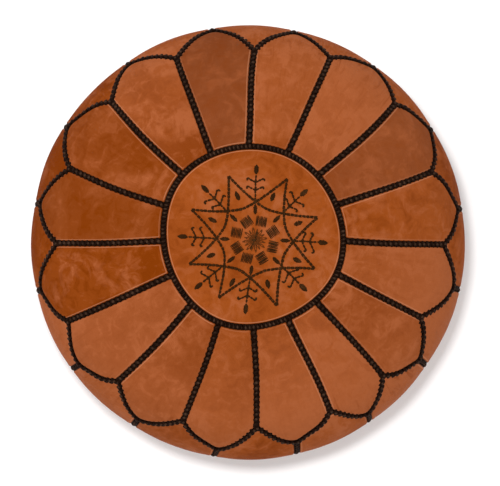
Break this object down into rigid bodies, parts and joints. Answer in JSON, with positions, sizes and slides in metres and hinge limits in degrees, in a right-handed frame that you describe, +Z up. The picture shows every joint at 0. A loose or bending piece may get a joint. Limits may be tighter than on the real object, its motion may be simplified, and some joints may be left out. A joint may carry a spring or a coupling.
{
  "type": "leather pouf",
  "caption": "Round stuffed floor pouf: embroidered leather medallion, ring of arched petals, side panels, dark plaited seams, zipped base.",
  "frame": {"origin": "on the floor, under the middle of the pouf", "axes": "+Z up through the middle of the medallion, +X along the base zip towards its shut end"},
  "size_m": [0.53, 0.53, 0.3308],
  "materials": {
    "tan_leather": "satin",
    "plaited_thread": "satin",
    "embroidery_thread": "satin",
    "sewing_thread": "satin",
    "zip_tape": "matte",
    "zip_metal": "satin",
    "calico": "matte",
    "wadding": "matte"
  },
  "bodies": {
    "cover": {"medallion_panel": "tan_leather", "petal_01": "tan_leather", "petal_02": "tan_leather", "petal_03": "tan_leather", "petal_04": "tan_leather", "petal_05": "tan_leather", "petal_06": "tan_leather", "petal_07": "tan_leather", "petal_08": "tan_leather", "petal_09": "tan_leather", "petal_10": "tan_leather", "petal_11": "tan_leather", "petal_12": "tan_leather", "petal_13": "tan_leather", "petal_14": "tan_leather", "petal_15": "tan_leather", "petal_16": "tan_leather", "side_panel_01": "tan_leather", "side_panel_02": "tan_leather", "side_panel_03": "tan_leather", "side_panel_04": "tan_leather", "side_panel_05": "tan_leather", "side_panel_06": "tan_leather", "side_panel_07": "tan_leather", "side_panel_08": "tan_leather", "side_panel_09": "tan_leather", "side_panel_10": "tan_leather", "side_panel_11": "tan_leather", "side_panel_12": "tan_leather", "side_panel_13": "tan_leather", "side_panel_14": "tan_leather", "side_panel_15": "tan_leather", "side_panel_16": "tan_leather", "base_panel_front": "tan_leather", "base_panel_rear": "tan_leather", "medallion_seam": "plaited_thread", "petal_seams": "plaited_thread", "arch_seams": "plaited_thread", "side_seams": "plaited_thread", "base_seam": "plaited_thread", "medallion_embroidery": "embroidery_thread", "zip_stitches": "sewing_thread", "zip_tape_front": "zip_tape", "zip_tape_rear": "zip_tape", "zip_teeth_front": "zip_metal", "zip_teeth_rear": "zip_metal", "zip_top_stop_front": "zip_metal", "zip_top_stop_rear": "zip_metal", "zip_bottom_stop": "zip_metal", "inner_bag": "calico", "filling": "wadding"},
    "slider": {"zip_slider": "zip_metal"},
    "pull": {"zip_pull": "zip_metal"}
  },
  "joints": [
    {"name": "zip_slide", "type": "slide", "parent": "cover", "child": "slider", "axis": [-1, 0, 0], "range_m": [0, 0.236]},
    {"name": "pull_swing", "type": "hinge", "parent": "slider", "child": "pull", "pos_m": [0.118, 0, 0.0087], "axis": [0, -1, 0], "range_deg": [0, 180]}
  ]
}
